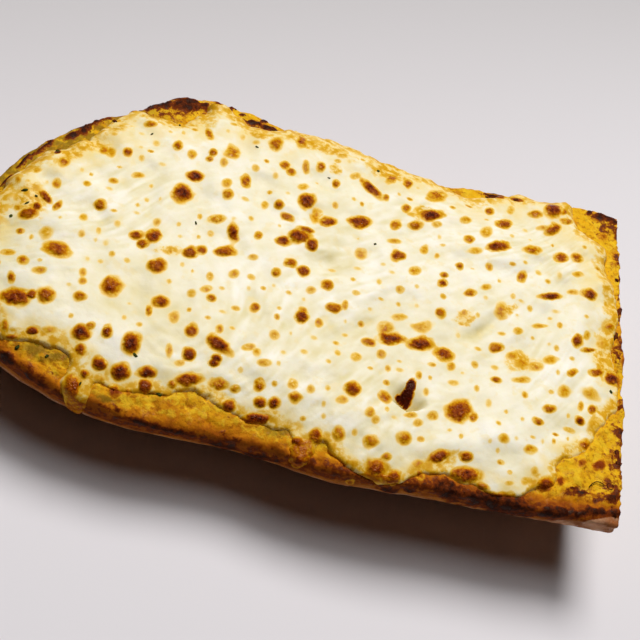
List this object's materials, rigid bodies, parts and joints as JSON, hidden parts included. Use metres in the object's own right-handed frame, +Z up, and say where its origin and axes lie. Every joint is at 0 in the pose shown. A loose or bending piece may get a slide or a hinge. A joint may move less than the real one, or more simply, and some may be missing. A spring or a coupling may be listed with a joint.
{
  "type": "cheese bread",
  "caption": "Open cheese bread: half of a short loaf, cut side up, with a rounded heel, a straight slice and a browned layer of melted cheese on top.",
  "frame": {"origin": "on the plane of the flat foot, under the middle of the loaf's box", "axes": "+X along the loaf from the rounded heel to the straight slice, +Y across the loaf to its far side, +Z up out of the cheese"},
  "size_m": [0.1524, 0.0964, 0.0268],
  "materials": {
    "toasted_bread": "toasted, buttered bread: golden crumb, charred rim, matte tan crust",
    "melted_cheese": "melted cheese with a soft gloss and brown blisters",
    "dried_herb": "dark green dried herb flecks"
  },
  "bodies": {
    "root": {"bread": "toasted_bread", "cheese": "melted_cheese"}
  },
  "joints": []
}
